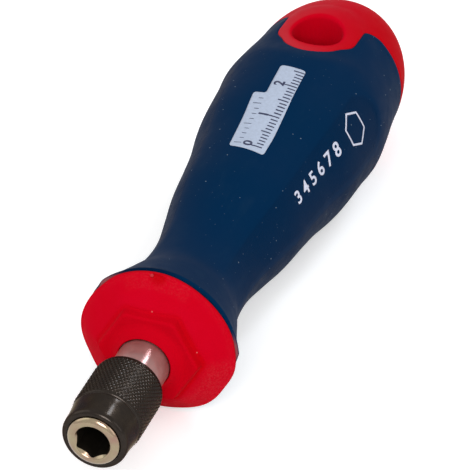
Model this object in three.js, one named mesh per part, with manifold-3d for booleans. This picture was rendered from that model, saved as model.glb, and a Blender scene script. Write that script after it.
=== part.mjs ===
// Screwdriver for loose hexagon bits: a two-part moulded handle and a quick-release bit chuck.
// Millimetres. The tool axis is +Y, from the bit's tip to the handle's cap. The origin is the seat
// that a bit's end rests on, and +Z is the axis of the hang hole.

import * as THREE from 'three';
import { mergeVertices } from 'three/addons/utils/BufferGeometryUtils.js';
import Module from 'manifold-3d';

const wasm = await Module();
wasm.setup();

// Clearances, shared by every piece
const seat_gap = 0.3;          // between faces that rest on each other
const running_gap = 0.2;       // round pieces that slide or turn on each other
const overrun = 2;             // how far a cutter reaches past what it cuts
const weld_reach = 0.00002;    // points closer than this become one

// Overall places
const socket_depth = 16.5;     // nose face to the seat
const nose_reach = 35;         // nose face to the flange's rim
const handle_length = 125.9;   // flange's rim to the end of the cap

// Handle: outer form
const handle_radius = 18.8;
const guard_radius = 15.8;
const guard_edge = 0.6;
const dome_length = 23.1;
const dome_radius_share = 0.902;
const dome_taper_share = 0.03;
const side_flute_depth = 0.38;
const top_flute_depth = 0.45;
const flute_end_step = 2.5;
const flute_end_bow = 11;
const flute_start_share = 0.06;
const flute_full_share = 0.2;
const flute_fade_share = 0.55;
const flute_end_share = 0.683;
const top_ridge_angle = 42;    // degrees from +Z to the ridges beside the top face
const side_ridge_angle = 90;
const handle_columns = 60;
const handle_rows = 30;
const dome_rows = 7;
const core_rows = 9;
const core_columns = 32;
// Shares of handle_length and of handle_radius, from behind the guard to the start of the dome
const handle_outline_shares = [
  [0.032, 0.794], [0.08, 0.682], [0.12, 0.599], [0.174, 0.569], [0.23, 0.59], [0.294, 0.665],
  [0.35, 0.735], [0.413, 0.781], [0.476, 0.835], [0.54, 0.918], [0.604, 0.965], [0.675, 1],
  [0.727, 0.973], [0.775, 0.931],
];

// Handle: hard core
const flange_radius = 15.8;
const flange_thickness = 0.9;
const flange_cone = 3.9;       // how far the flange's face rises towards the boss
const flange_bevel = 1.3;
const flange_bevel_depth = 0.9;
const flange_edge = 0.2;
const flange_lobe = 0.5;
const flange_lobe_angles = [89, 140, 220, 271];
const flange_lobe_half_angle = 28;
const flange_columns = 48;
const boss_across_flats = 18.4;
const boss_height = 2.05;
const boss_corner = 1.3;
const boss_edge = 0.6;
const collar_height = 1.95;
const collar_base_wall = 2.9;
const collar_top_wall = 0.35;
// Shares of the collar's width and of its height, from the boss's face up to the shank
const collar_sweep_shares = [[0.3, 0.07], [0.55, 0.24], [0.8, 0.6]];
const grip_wall = 2.6;
const gate_mark_width = 3;
const gate_mark_height = 1.4;
const gate_mark_depth = 0.6;
const gate_mark_inset = 1.4;
const gate_mark_columns = 12;
const gate_mark_rows = 8;

// Handle: cap and hang hole
const hang_hole_radius = 5.4;
const hang_hole_inset = 30.5;  // hole's axis to the end of the cap
const hang_hole_rim = 0.6;
const land_rise = 0.1;         // level land round the hole over the round form
const land_slope_share = 0.025;
const land_inner_radius = 6.5;
const land_outer_radius = 14;
const bib_width = 3.3;         // band of hard plastic round the hang hole
const bib_setback = 0.5;       // its middle behind the hole's axis
const cap_reach = 21.1;        // cap's edge beside the bib to its end
const cap_corner = 3.4;
const hole_columns = 32;
const bib_steps = 20;
const surface_passes = 4;

// Chuck body
const body_radius = 5.35;
const nose_round = 0.9;
const hex_across_flats = 6.4;
const lead_in_radius = 3.95;
const lead_in_depth = 0.8;
const tail_reach = 20;         // how far the shank runs behind the flange's rim
const tail_chamfer = 0.8;
const wing_reach = 1.5;
const wing_length = 10;
const wing_thickness = 1.6;
const wing_place = 4;
const body_columns = 40;
const round_steps = 4;

// Magnet
const magnet_radius = 2.4;
const magnet_length = 3;
const magnet_proud = 0.2;

// Lock balls
const ball_radius = 1;
const ball_setback = 7;        // ball centre ahead of the seat
const ball_lip_radius = 0.75;
const ball_lip_height = 0.35;
const ball_columns = 12;
const ball_rows = 6;

// Locking sleeve
const sleeve_radius = 7.2;
const sleeve_length = 18.7;
const sleeve_travel = 2.2;
const sleeve_nose_radius = 5.9;
const sleeve_front_radius = 6.6;
const sleeve_nose_bevel = 0.9;
const sleeve_step_radius = 6.98;
const sleeve_step_groove = 0.16;
const sleeve_step_width = 0.25;
const sleeve_smooth_length = 6;
const nose_proud = 0.8;
const knurl_depth = 0.2;
const knurl_pitch = 0.92;
const knurl_columns = 48;
const sleeve_rear_round = 0.7;
const sleeve_land_length = 2.2;
const sleeve_recess_length = 0.7;
const sleeve_lip_length = 0.6;
const ramp_share = 0.2;        // ball lift over sleeve travel

// Spring and its rings
const spring_wire = 0.5;
const spring_turns = 4.5;
const spring_steps = 24;       // for each turn
const spring_sides = 6;
const washer_thickness = 0.5;
const ring_thickness = 0.6;
const ring_groove_depth = 0.4;
const ring_split = 1.6;
const ring_columns = 32;

// Places along the tool axis, from the seat
const flange_y = nose_reach - socket_depth;
const nose_y = -socket_depth;
const ball_y = -ball_setback;
const sleeve_front = nose_y + nose_proud;
const sleeve_rear = sleeve_front + sleeve_length;
const lip_front = sleeve_rear - sleeve_lip_length;
const ring_rear = lip_front - seat_gap;
const ring_front = ring_rear - ring_thickness;
const shoulder_y = ball_y + sleeve_land_length;
const washer_front = shoulder_y + seat_gap;
const washer_rear = washer_front + washer_thickness;

// Radii inside the sleeve
const land_radius = body_radius + running_gap;
const recess_radius = land_radius + ramp_share * sleeve_travel;
const spring_radius = land_radius + spring_wire / 2;
const ring_radius = land_radius + spring_wire;
const sleeve_bore = ring_radius + running_gap;
const groove_radius = body_radius - ring_groove_depth;

const degrees = Math.PI / 180;
const polar = (radius, angle, y) => new THREE.Vector3(
  radius * Math.sin(angle), y, radius * Math.cos(angle));

// Solids and geometries

function signedVolume(positions, index) {
  const [a, b, c] = [new THREE.Vector3(), new THREE.Vector3(), new THREE.Vector3()];
  let volume = 0;
  for (let i = 0; i < index.length; i += 3) {
    a.fromArray(positions, 3 * index[i]);
    b.fromArray(positions, 3 * index[i + 1]);
    c.fromArray(positions, 3 * index[i + 2]);
    volume += a.dot(b.cross(c)) / 6;
  }
  return volume;
}

// A closed geometry as a solid, with its faces turned outwards
function toSolid(geometry) {
  const bare = geometry.clone();
  bare.deleteAttribute('normal');
  bare.deleteAttribute('uv');
  const merged = mergeVertices(bare, weld_reach);
  const vertices = merged.attributes.position.array;
  const kept = [];
  for (let i = 0; i < merged.index.count; i += 3) {
    const [a, b, c] = merged.index.array.slice(i, i + 3);
    if (a !== b && b !== c && c !== a) kept.push(a, b, c);
  }
  if (signedVolume(vertices, kept) < 0) kept.reverse();
  return new wasm.Manifold(new wasm.Mesh({
    numProp: 3,
    vertProperties: Float32Array.from(vertices),
    triVerts: Uint32Array.from(kept),
  }));
}

function toGeometry(solid) {
  const mesh = solid.getMesh();
  const geometry = new THREE.BufferGeometry();
  const positions = Float32Array.from(mesh.vertProperties);
  geometry.setAttribute('position', new THREE.BufferAttribute(positions, 3));
  geometry.setIndex(new THREE.BufferAttribute(Uint32Array.from(mesh.triVerts), 1));
  geometry.computeVertexNormals();
  return geometry;
}

// Skin over rings of points that go round the tool axis. A ring of one point is a pole. With
// looped, the last ring joins the first, as in a tube's wall. Each quad is split along its lower
// diagonal, so raised points stand up as pyramids.
function ringSkin(rings, looped = false) {
  const points = rings.flat();
  const starts = [];
  let total = 0;
  for (const ring of rings) {
    starts.push(total);
    total += ring.length;
  }
  const lift = (i) => Math.hypot(points[i].x, points[i].z);
  const index = [];
  const last = looped ? rings.length : rings.length - 1;
  for (let row = 0; row < last; row++) {
    const next = (row + 1) % rings.length;
    const columns = Math.max(rings[row].length, rings[next].length);
    for (let column = 0; column < columns; column++) {
      const beside = (column + 1) % columns;
      const pick = (r, c) => starts[r] + (rings[r].length === 1 ? 0 : c);
      const a = pick(row, column);
      const b = pick(row, beside);
      const c = pick(next, beside);
      const d = pick(next, column);
      if (lift(a) + lift(c) <= lift(b) + lift(d)) index.push(a, b, c, a, c, d);
      else index.push(a, b, d, b, c, d);
    }
  }
  const geometry = new THREE.BufferGeometry();
  const positions = new Float32Array(points.flatMap((p) => [p.x, p.y, p.z]));
  geometry.setAttribute('position', new THREE.BufferAttribute(positions, 3));
  geometry.setIndex(index);
  return geometry;
}

function revolve(outline, columns) {
  const points = outline.map(([radius, y]) => new THREE.Vector2(radius, y));
  return toSolid(new THREE.LatheGeometry(points, columns));
}

// A closed section, revolved: the last point joins the first
const revolveLoop = (section, columns) => revolve([...section, section[0]], columns);

// An outline in the X-Y plane, extruded along Z evenly to both sides
function plate(shape, halfDepth, curveSegments) {
  const geometry = new THREE.ExtrudeGeometry(shape, {
    depth: 2 * halfDepth, bevelEnabled: false, curveSegments,
  });
  return toSolid(geometry.translate(0, 0, -halfDepth));
}

function bar(width, length, height, middleY) {
  return toSolid(new THREE.BoxGeometry(width, length, height).translate(0, middleY, 0));
}

// Handle form: radius as a function of the place behind the flange's rim and of the angle from +Z

const guard_front = flange_thickness + seat_gap;
const dome_start = handle_length - dome_length;
const hang_hole_place = handle_length - hang_hole_inset;
const cap_place = handle_length - cap_reach;
const bib_place = hang_hole_place + bib_setback;
const dome_radius = dome_radius_share * handle_radius;

const outlineCurve = new THREE.SplineCurve([
  new THREE.Vector2(guard_front + guard_edge, guard_radius),
  ...handle_outline_shares.map(
    ([along, out]) => new THREE.Vector2(along * handle_length, out * handle_radius)),
  new THREE.Vector2(dome_start, dome_radius),
]);
const outlinePoints = outlineCurve.getPoints(handle_rows);

function smooth(from, to, value) {
  return THREE.MathUtils.smoothstep(value, from, to);
}

// How far the ridges stand over the side flutes' floor, from none at both ends
function ridgeHeight(s) {
  const start = smooth(flute_start_share * handle_length, flute_full_share * handle_length, s);
  const end = 1 - smooth(flute_fade_share * handle_length, flute_end_share * handle_length, s);
  return { start, end };
}

// Six flutes between six ridges: one wide flute above and one below, and two narrow ones a side
function fluteDrop(s, angle) {
  const turned = Math.abs(THREE.MathUtils.euclideanModulo(angle / degrees + 90, 180) - 90);
  const { start, end } = ridgeHeight(s);
  if (turned <= top_ridge_angle) {
    const across = turned / top_ridge_angle;
    return top_flute_depth * (1 - across ** 2) * start * end;
  }
  const half = (side_ridge_angle - top_ridge_angle) / 2;
  const across = Math.min(Math.abs(turned - top_ridge_angle - half) / half, 1);
  const bow = flute_end_bow * (1 - Math.sqrt(1 - across ** 2));
  const stop = flute_end_share * handle_length - bow;
  return side_flute_depth * (1 - across ** 2) * start * (1 - smooth(stop - flute_end_step, stop, s));
}

// Radius without flutes, ridges and lands
function floorRadius(s) {
  if (s > dome_start) {
    const along = Math.min(s - dome_start, dome_length);
    const height = Math.sqrt(1 - (along / dome_length) ** 2);
    return (dome_radius - dome_taper_share * along) * height;
  }
  const i = Math.max(outlinePoints.findIndex((p) => p.x > s), 1);
  const [p, q] = [outlinePoints[i - 1], outlinePoints[i]];
  return THREE.MathUtils.mapLinear(s, p.x, q.x, p.y, q.y);
}

// How far the nearly level land round each end of the hang hole stands over the round form
function holeLand(s, floor, angle) {
  const behind = s - hang_hole_place;
  const away = Math.hypot(floor * Math.sin(angle), behind);
  const level = floorRadius(hang_hole_place) + land_rise + land_slope_share * behind;
  return (level - floor) * (1 - smooth(land_inner_radius, land_outer_radius, away));
}

function formRadius(s, floor, angle) {
  const { start, end } = ridgeHeight(s);
  return floor + holeLand(s, floor, angle) + side_flute_depth * start * end - fluteDrop(s, angle);
}

function handleRing(s, floor) {
  const ring = [];
  for (let column = 0; column < handle_columns; column++) {
    const angle = (2 * Math.PI * column) / handle_columns;
    ring.push(polar(formRadius(s, floor, angle), angle, s));
  }
  return ring;
}

// The whole outer form, from the guard's front face to the end of the cap
function handleForm() {
  const rings = [[new THREE.Vector3(0, guard_front, 0)]];
  rings.push(handleRing(guard_front, guard_radius - guard_edge));
  for (const point of outlinePoints) rings.push(handleRing(point.x, point.y));
  for (let row = 1; row < dome_rows; row++) {
    const turn = (Math.PI / 2) * (row / dome_rows);
    const along = dome_length * Math.sin(turn);
    rings.push(handleRing(dome_start + along, floorRadius(dome_start + along)));
  }
  rings.push([new THREE.Vector3(0, handle_length, 0)]);
  return toSolid(ringSkin(rings));
}

// Where hard plastic comes to the surface: the cap, and a bib forward round each end of the hole
function capRegion(gap) {
  const bib = hang_hole_radius + bib_width + gap;
  const corner = cap_corner - gap;
  const edge = cap_place - gap;
  const wide = handle_radius + overrun;
  const shape = new THREE.Shape();
  shape.moveTo(-wide, handle_length + overrun);
  shape.lineTo(-wide, edge);
  shape.lineTo(-bib - corner, edge);
  shape.absarc(-bib - corner, edge - corner, corner, Math.PI / 2, 0, true);
  shape.absarc(0, bib_place, bib, Math.PI, 2 * Math.PI, false);
  shape.absarc(bib + corner, edge - corner, corner, Math.PI, Math.PI / 2, true);
  shape.lineTo(wide, edge);
  shape.lineTo(wide, handle_length + overrun);
  return plate(shape, handle_radius + overrun, bib_steps);
}

// The core under the grip, a wall's thickness inside the outline
function innerCore(gap, from, to) {
  const inside = outlineCurve.getPoints(core_rows).map((p) => [p.y - grip_wall + gap, p.x]);
  const first = inside[0][0];
  const final = inside[inside.length - 1][0];
  return revolve([[0, from], [first, from], ...inside, [final, to], [0, to]], core_columns);
}

// A cutter that rounds one end of the hang hole, following the surface round its rim
function holeRim(side) {
  const surface = (reach, turn) => {
    const x = reach * Math.cos(turn);
    const s = hang_hole_place + reach * Math.sin(turn);
    let z = handle_radius;
    for (let pass = 0; pass < surface_passes; pass++) {
      const radius = formRadius(s, floorRadius(s), Math.atan2(x, z));
      z = Math.sqrt(radius ** 2 - x ** 2);
    }
    return [x, s, z];
  };
  const ring = (reach, sink) => {
    const points = [];
    for (let column = 0; column < hole_columns; column++) {
      const [x, s, z] = surface(reach, (2 * Math.PI * column) / hole_columns);
      points.push(new THREE.Vector3(x, z - sink, -s));
    }
    return points;
  };
  const wide = hang_hole_radius + hang_hole_rim;
  const low = new THREE.Vector3(0, handle_radius - hang_hole_radius, -hang_hole_place);
  const high = new THREE.Vector3(0, handle_radius + overrun, -hang_hole_place);
  const middle = hang_hole_rim * (1 - Math.SQRT1_2);
  const rings = [
    [low], ring(hang_hole_radius, hang_hole_rim), ring(hang_hole_radius + middle, middle),
    ring(wide, 0), ring(wide, -hang_hole_rim), [high],
  ];
  const cutter = ringSkin(rings).rotateX(Math.PI / 2);
  if (side < 0) cutter.scale(1, 1, -1);
  return toSolid(cutter);
}

function hangHole() {
  const bore = new THREE.CylinderGeometry(
    hang_hole_radius, hang_hole_radius, 2 * (handle_radius + overrun), hole_columns);
  return toSolid(bore.rotateX(Math.PI / 2).translate(0, hang_hole_place, 0));
}

// Handle core: flange, hexagon boss, core, bibs and cap, in one hard moulding

function flangeRadius(angle, inset) {
  let radius = flange_radius - inset;
  for (const lobe of flange_lobe_angles) {
    const away = Math.abs(THREE.MathUtils.euclideanModulo(angle / degrees - lobe + 180, 360) - 180);
    if (away < flange_lobe_half_angle) {
      radius += flange_lobe * Math.cos((Math.PI / 2) * (away / flange_lobe_half_angle)) ** 2;
    }
  }
  return radius;
}

function flange() {
  const ring = (s, inset) => {
    const points = [];
    for (let column = 0; column < flange_columns; column++) {
      const angle = (2 * Math.PI * column) / flange_columns;
      points.push(polar(flangeRadius(angle, inset), angle, s));
    }
    return points;
  };
  const neck = flange_radius - boss_across_flats / 2;
  const rings = [
    [new THREE.Vector3(0, -flange_cone, 0)],
    ring(-flange_cone, neck),
    ring(-flange_bevel_depth, flange_bevel),
    ring(-flange_edge, flange_edge),
    ring(0, 0),
    ring(flange_thickness - flange_edge, 0),
    ring(flange_thickness, flange_edge),
    [new THREE.Vector3(0, flange_thickness, 0)],
  ];
  return toSolid(ringSkin(rings));
}

// Hexagon with rounded corners, one corner on +X, flats above and below
function hexagonShape(acrossFlats, corner) {
  const shape = new THREE.Shape();
  const reach = acrossFlats / Math.sqrt(3) - corner / Math.cos(Math.PI / 6);
  for (let i = 0; i < 6; i++) {
    const turn = (i * Math.PI) / 3;
    const x = reach * Math.cos(turn);
    const y = reach * Math.sin(turn);
    shape.absarc(x, y, corner, turn - Math.PI / 6, turn + Math.PI / 6, false);
  }
  return shape;
}

function boss() {
  const depth = boss_height + overrun - boss_edge;
  const prism = new THREE.ExtrudeGeometry(hexagonShape(boss_across_flats, boss_corner), {
    depth, bevelEnabled: true, bevelThickness: boss_edge, bevelSize: boss_edge,
    bevelOffset: -boss_edge, bevelSegments: 2, curveSegments: 2,
  });
  const hexagon = toSolid(prism.rotateX(Math.PI / 2).translate(0, -flange_cone + overrun, 0));
  const face = -flange_cone - boss_height;
  const base = body_radius + collar_base_wall;
  const top = body_radius + collar_top_wall;
  const sweep = [[0, 0], ...collar_sweep_shares, [1, 1]].map(([along, up]) => [
    THREE.MathUtils.lerp(base, top, along), face - collar_height * up]);
  const collar = revolve([[0, face + overrun], [base, face + overrun], ...sweep,
    [0, face - collar_height]], body_columns);
  return hexagon.add(collar);
}

function gateMark() {
  const mark = new THREE.SphereGeometry(1, gate_mark_columns, gate_mark_rows);
  mark.scale(gate_mark_width / 2, gate_mark_depth, gate_mark_height / 2);
  const radius = flange_radius - gate_mark_inset;
  return toSolid(mark.translate(0, -flange_bevel_depth - gate_mark_depth / 2, radius));
}

function handleCore(form) {
  const joined = innerCore(0, 0, cap_place + overrun).add(flange()).add(boss());
  const shown = form.intersect(capRegion(0));
  const bore = tailSeat().translate(0, -flange_y, 0);
  return joined.add(shown).subtract(hangHole()).subtract(holeRim(1)).subtract(holeRim(-1))
    .subtract(bore).subtract(gateMark());
}

// Soft grip: the form less the hard core and everything that comes to the surface
function softGrip(form) {
  const hollow = innerCore(seat_gap, 0, handle_length);
  return form.subtract(capRegion(seat_gap)).subtract(hollow);
}

// Chuck body: a steel shank with its hexagon socket, magnet pocket, ball holes and ring groove

// Two wings beside the shank, pressed out of it, which stop it from turning in the handle
function wings(gap) {
  const width = 2 * (body_radius + wing_reach + gap);
  const middle = flange_y + wing_place + wing_length / 2;
  return bar(width, wing_length + 2 * gap, wing_thickness + 2 * gap, middle);
}

// The space that the shank's tail fills in the handle
function tailSeat() {
  const radius = body_radius + seat_gap;
  const mouth = flange_y - flange_cone - boss_height - collar_height - overrun;
  const end = flange_y + tail_reach + seat_gap;
  const bore = revolve([[0, mouth], [radius, mouth], [radius, end - tail_chamfer],
    [radius - tail_chamfer, end], [0, end]], body_columns);
  return bore.add(wings(seat_gap));
}

// Hexagon prism along the tool axis with corners on +Z and -Z
function hexagonPrism(acrossFlats, from, to) {
  const corner = acrossFlats / Math.sqrt(3);
  const prism = new THREE.CylinderGeometry(corner, corner, to - from, 6);
  return toSolid(prism.translate(0, (from + to) / 2, 0));
}

// A locked ball is flush with the body, and its inner side stands in a corner of the socket
const locked_ball_reach = body_radius - ball_radius;

// A radial hole for one ball: its narrow inner end keeps the ball out of the socket
function ballHole(side) {
  const radius = ball_radius + running_gap;
  const lip = locked_ball_reach - ball_radius + ball_lip_height;
  const outside = body_radius + overrun;
  const hole = revolve([[0, 0], [ball_lip_radius, 0], [ball_lip_radius, lip - ball_lip_height / 2],
    [radius, lip + ball_lip_height], [radius, outside], [0, outside]], ball_columns);
  return hole.rotate([side * 90, 0, 0]).translate(0, ball_y, 0);
}

function chuckBody() {
  const nose = [];
  for (let step = 0; step <= round_steps; step++) {
    const turn = (Math.PI / 2) * (step / round_steps);
    const radius = body_radius - nose_round * (1 - Math.sin(turn));
    nose.push([radius, nose_y + nose_round * (1 - Math.cos(turn))]);
  }
  const groove_front = ring_front - running_gap;
  const groove_rear = ring_rear + running_gap;
  const end = flange_y + tail_reach;
  const shank = revolve([[0, nose_y], ...nose, [body_radius, groove_front], [groove_radius, groove_front],
    [groove_radius, groove_rear], [body_radius, groove_rear], [body_radius, end - tail_chamfer],
    [body_radius - tail_chamfer, end], [0, end]], body_columns);
  const socket = hexagonPrism(hex_across_flats, nose_y - overrun, magnet_proud);
  const funnel_end = nose_y + lead_in_depth;
  const funnel = revolve([[0, nose_y - overrun], [lead_in_radius + overrun, nose_y - overrun],
    [lead_in_radius, nose_y], [hex_across_flats / 2, funnel_end], [0, funnel_end]], body_columns);
  const pocket_radius = magnet_radius + running_gap;
  const pocket_end = magnet_length + running_gap;
  const pocket = revolve([[0, 0], [pocket_radius, 0], [pocket_radius, pocket_end], [0, pocket_end]],
    body_columns);
  return shank.add(wings(0)).subtract(socket).subtract(funnel).subtract(pocket)
    .subtract(ballHole(1)).subtract(ballHole(-1));
}

function magnet() {
  const disc = new THREE.CylinderGeometry(magnet_radius, magnet_radius, magnet_length, body_columns);
  return toSolid(disc.translate(0, magnet_length / 2, 0));
}

function lockBall(side) {
  const ball = new THREE.SphereGeometry(ball_radius, ball_columns, ball_rows);
  return toSolid(ball.rotateX(Math.PI / 2).translate(0, ball_y, side * locked_ball_reach));
}

// Locking sleeve: smooth taper in front, crossed knurl behind, and a stepped bore. The bore's ramp
// lets the balls out as the sleeve is pulled back, and its rear lip stops it on the retaining ring.

function evenRing(radius, y) {
  const ring = [];
  for (let column = 0; column < knurl_columns; column++) {
    ring.push(polar(radius, (2 * Math.PI * column) / knurl_columns, y));
  }
  return ring;
}

function knurlRings(from, to) {
  const valley = sleeve_radius - knurl_depth;
  const rows = Math.max(2 * Math.round((to - from) / knurl_pitch / 2), 2);
  const rings = [evenRing(valley, from)];
  for (let row = 1; row < rows; row++) {
    const ring = [];
    for (let column = 0; column < knurl_columns; column++) {
      const radius = (row + column) % 2 === 0 ? sleeve_radius : valley;
      const angle = (2 * Math.PI * column) / knurl_columns;
      ring.push(polar(radius, angle, from + ((to - from) * row) / rows));
    }
    rings.push(ring);
  }
  rings.push(evenRing(valley, to));
  return rings;
}

function lockingSleeve() {
  const step_y = sleeve_front + sleeve_smooth_length;
  const knurl_from = step_y + 2 * sleeve_step_width;
  const knurl_to = sleeve_rear - sleeve_rear_round;
  const valley = sleeve_radius - knurl_depth;
  const rear_round = sleeve_rear_round * Math.SQRT1_2;
  const recess_rear = ball_y - sleeve_travel;
  const recess_front = recess_rear - sleeve_recess_length;
  const outside_front = [
    [sleeve_nose_radius, sleeve_front],
    [sleeve_front_radius, sleeve_front + sleeve_nose_bevel],
    [sleeve_step_radius, step_y],
    [sleeve_step_radius - sleeve_step_groove, step_y + sleeve_step_width],
  ];
  const outside_rear = [
    [valley - sleeve_rear_round + rear_round, knurl_to + rear_round],
    [valley - sleeve_rear_round + running_gap, sleeve_rear],
  ];
  const bore = [
    [land_radius, sleeve_rear],
    [land_radius, lip_front],
    [sleeve_bore, lip_front],
    [sleeve_bore, shoulder_y],
    [land_radius, shoulder_y],
    [land_radius, ball_y],
    [recess_radius, recess_rear],
    [recess_radius, recess_front],
    [land_radius, recess_front],
    [land_radius, sleeve_front],
  ];
  const rings = (section) => section.map(([radius, y]) => evenRing(radius, y));
  return toSolid(ringSkin([...rings(outside_front), ...knurlRings(knurl_from, knurl_to),
    ...rings(outside_rear), ...rings(bore)], true));
}

// Spring: one unbroken helical tube between the thrust washer and the retaining ring

function sleeveSpring() {
  const from = washer_rear + seat_gap + spring_wire / 2;
  const to = ring_front - seat_gap - spring_wire / 2;
  const count = Math.round(spring_turns * spring_steps);
  const rise = (to - from) / (spring_turns * 2 * Math.PI * spring_radius);
  const centres = [];
  const rings = [];
  for (let step = 0; step <= count; step++) {
    const turn = (2 * Math.PI * step) / spring_steps;
    const centre = polar(spring_radius, turn, THREE.MathUtils.lerp(from, to, step / count));
    const outward = polar(1, turn, 0);
    const forward = new THREE.Vector3(Math.cos(turn), rise, -Math.sin(turn)).normalize();
    const upward = new THREE.Vector3().crossVectors(outward, forward);
    const ring = [];
    for (let side = 0; side < spring_sides; side++) {
      const roll = (2 * Math.PI * side) / spring_sides;
      ring.push(centre.clone()
        .addScaledVector(outward, (spring_wire / 2) * Math.cos(roll))
        .addScaledVector(upward, (spring_wire / 2) * Math.sin(roll)));
    }
    centres.push(centre);
    rings.push(ring);
  }
  console.log(`Spring: least gap between its turns is ${leastGap(centres).toFixed(2)} mm`);
  return toSolid(ringSkin([[centres[0]], ...rings, [centres[count]]]));
}

// The least clear distance between points of the wire that lie over half a turn apart
function leastGap(centres) {
  let least = Infinity;
  for (let i = 0; i < centres.length; i++) {
    for (let j = i + spring_steps / 2; j < centres.length; j++) {
      least = Math.min(least, centres[i].distanceTo(centres[j]));
    }
  }
  return least - spring_wire;
}

// A flat ring of rectangular section
function flatRing(inner, outer, from, to) {
  return revolveLoop([[inner, from], [outer, from], [outer, to], [inner, to]], ring_columns);
}

// The washer that the spring pushes: it slides with the sleeve and lets the sleeve turn on it
const thrustWasher = () => flatRing(land_radius, ring_radius, washer_front, washer_rear);

// The split ring in the body's groove that carries the spring and stops the sleeve
function retainingRing() {
  const ring = flatRing(groove_radius + running_gap, ring_radius, ring_front, ring_rear);
  const middle = (ring_front + ring_rear) / 2;
  const split = toSolid(new THREE.BoxGeometry(ring_split, ring_thickness + overrun, ring_radius)
    .translate(0, middle, -ring_radius));
  return ring.subtract(split);
}

// Assembly

function piece(group, name, solid, colour, roughness, metalness) {
  const material = new THREE.MeshStandardMaterial({ color: colour, roughness, metalness });
  const mesh = new THREE.Mesh(toGeometry(solid), material);
  mesh.name = name;
  group.add(mesh);
}

const screwdriver = new THREE.Group();
const handle = new THREE.Group();
const chuck = new THREE.Group();
handle.position.y = flange_y;
screwdriver.add(handle, chuck);

const form = handleForm();
piece(handle, 'handle_core', handleCore(form), 0xc8001e, 0.45, 0);
piece(handle, 'soft_grip', softGrip(form), 0x04294c, 0.8, 0);
piece(chuck, 'chuck_body', chuckBody(), 0xa59678, 0.3, 1);
piece(chuck, 'magnet', magnet(), 0x8c8c8c, 0.35, 1);
piece(chuck, 'lock_ball_1', lockBall(1), 0xc8c8c8, 0.15, 1);
piece(chuck, 'lock_ball_2', lockBall(-1), 0xc8c8c8, 0.15, 1);
piece(chuck, 'locking_sleeve', lockingSleeve(), 0x322d2a, 0.4, 1);
piece(chuck, 'sleeve_spring', sleeveSpring(), 0x9a9a9a, 0.3, 1);
piece(chuck, 'thrust_washer', thrustWasher(), 0x8a8a88, 0.35, 1);
piece(chuck, 'retaining_ring', retainingRing(), 0x55504c, 0.4, 1);

export default screwdriver;
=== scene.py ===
import math

import bmesh
import bpy
import numpy as np
from mathutils import Matrix, Vector
from mathutils.geometry import delaunay_2d_cdt


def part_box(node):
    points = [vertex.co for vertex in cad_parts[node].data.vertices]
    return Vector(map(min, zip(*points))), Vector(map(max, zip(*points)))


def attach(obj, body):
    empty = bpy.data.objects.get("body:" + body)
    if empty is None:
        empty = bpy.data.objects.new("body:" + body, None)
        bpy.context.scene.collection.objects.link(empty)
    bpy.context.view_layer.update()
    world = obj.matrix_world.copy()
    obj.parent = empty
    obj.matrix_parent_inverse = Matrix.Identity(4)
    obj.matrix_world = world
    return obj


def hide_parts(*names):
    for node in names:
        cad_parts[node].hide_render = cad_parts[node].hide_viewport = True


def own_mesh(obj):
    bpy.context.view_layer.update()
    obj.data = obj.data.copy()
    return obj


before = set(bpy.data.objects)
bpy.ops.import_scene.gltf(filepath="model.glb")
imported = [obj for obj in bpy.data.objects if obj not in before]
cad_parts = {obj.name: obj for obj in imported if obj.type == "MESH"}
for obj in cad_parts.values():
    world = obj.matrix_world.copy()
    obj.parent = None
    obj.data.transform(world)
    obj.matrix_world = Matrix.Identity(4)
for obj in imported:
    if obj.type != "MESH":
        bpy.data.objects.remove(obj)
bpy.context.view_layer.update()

# Sizes are in millimetres until a mesh is made. y is the place in the frame, from the bit's seat
# towards the cap, and s the same place counted from the flange. Angles run from +Z towards +X.
MM = 0.001
FLANGE_Y = 18.5
NOSE_Y = -16.5

# Handle, outer form. The outline's points are shares of the length and of the radius.
LENGTH = 125.9
RADIUS = 18.8
OUTLINE = [
    (0.032, 0.794), (0.08, 0.682), (0.12, 0.599), (0.174, 0.569), (0.23, 0.59), (0.294, 0.665),
    (0.35, 0.735), (0.413, 0.781), (0.476, 0.835), (0.54, 0.918), (0.604, 0.965), (0.675, 1),
    (0.727, 0.973), (0.775, 0.931),
]
GUARD_FRONT = 1.2
GUARD_EDGE = 0.6
GUARD_BACK = GUARD_FRONT + GUARD_EDGE
GUARD_RADIUS = 15.8
# Blunt corners of the guard's rim: angle, reach before and after it in degrees, and rise
GUARD_CORNERS = ((-51, 7.5, 22, 0.3), (90, 20, 8, 0.42))
DOME_LENGTH = 23.1
DOME_START = LENGTH - DOME_LENGTH
DOME_RADIUS = 0.902 * RADIUS
DOME_TAPER = 0.03
# Flutes, and the ridges between them, whose places are degrees from the top or the bottom
SIDE_FLUTE = 0.38
TOP_FLUTE = 0.45
TOP_RIDGE = 42.0
SIDE_RIDGE = 90.0
FLUTE_END = 0.683 * LENGTH
FLUTE_BOW = 11.0
FLUTE_STEP = 2.2
# The ridges are rounded by an average over these turns in degrees, with their weights
RIDGE_ROUNDING = ((-5, 0.12), (-2.5, 0.23), (0, 0.3), (2.5, 0.23), (5, 0.12))
# The form stays this far inside the frame's model
HAIR = 0.01
CREST_PLACE = 82.1
CREST_REACH = 2.4
CREST_LOSS = 0.1

# Handle, hard parts
FLANGE_RADIUS = 15.8
FLANGE_THICKNESS = 0.9
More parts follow.
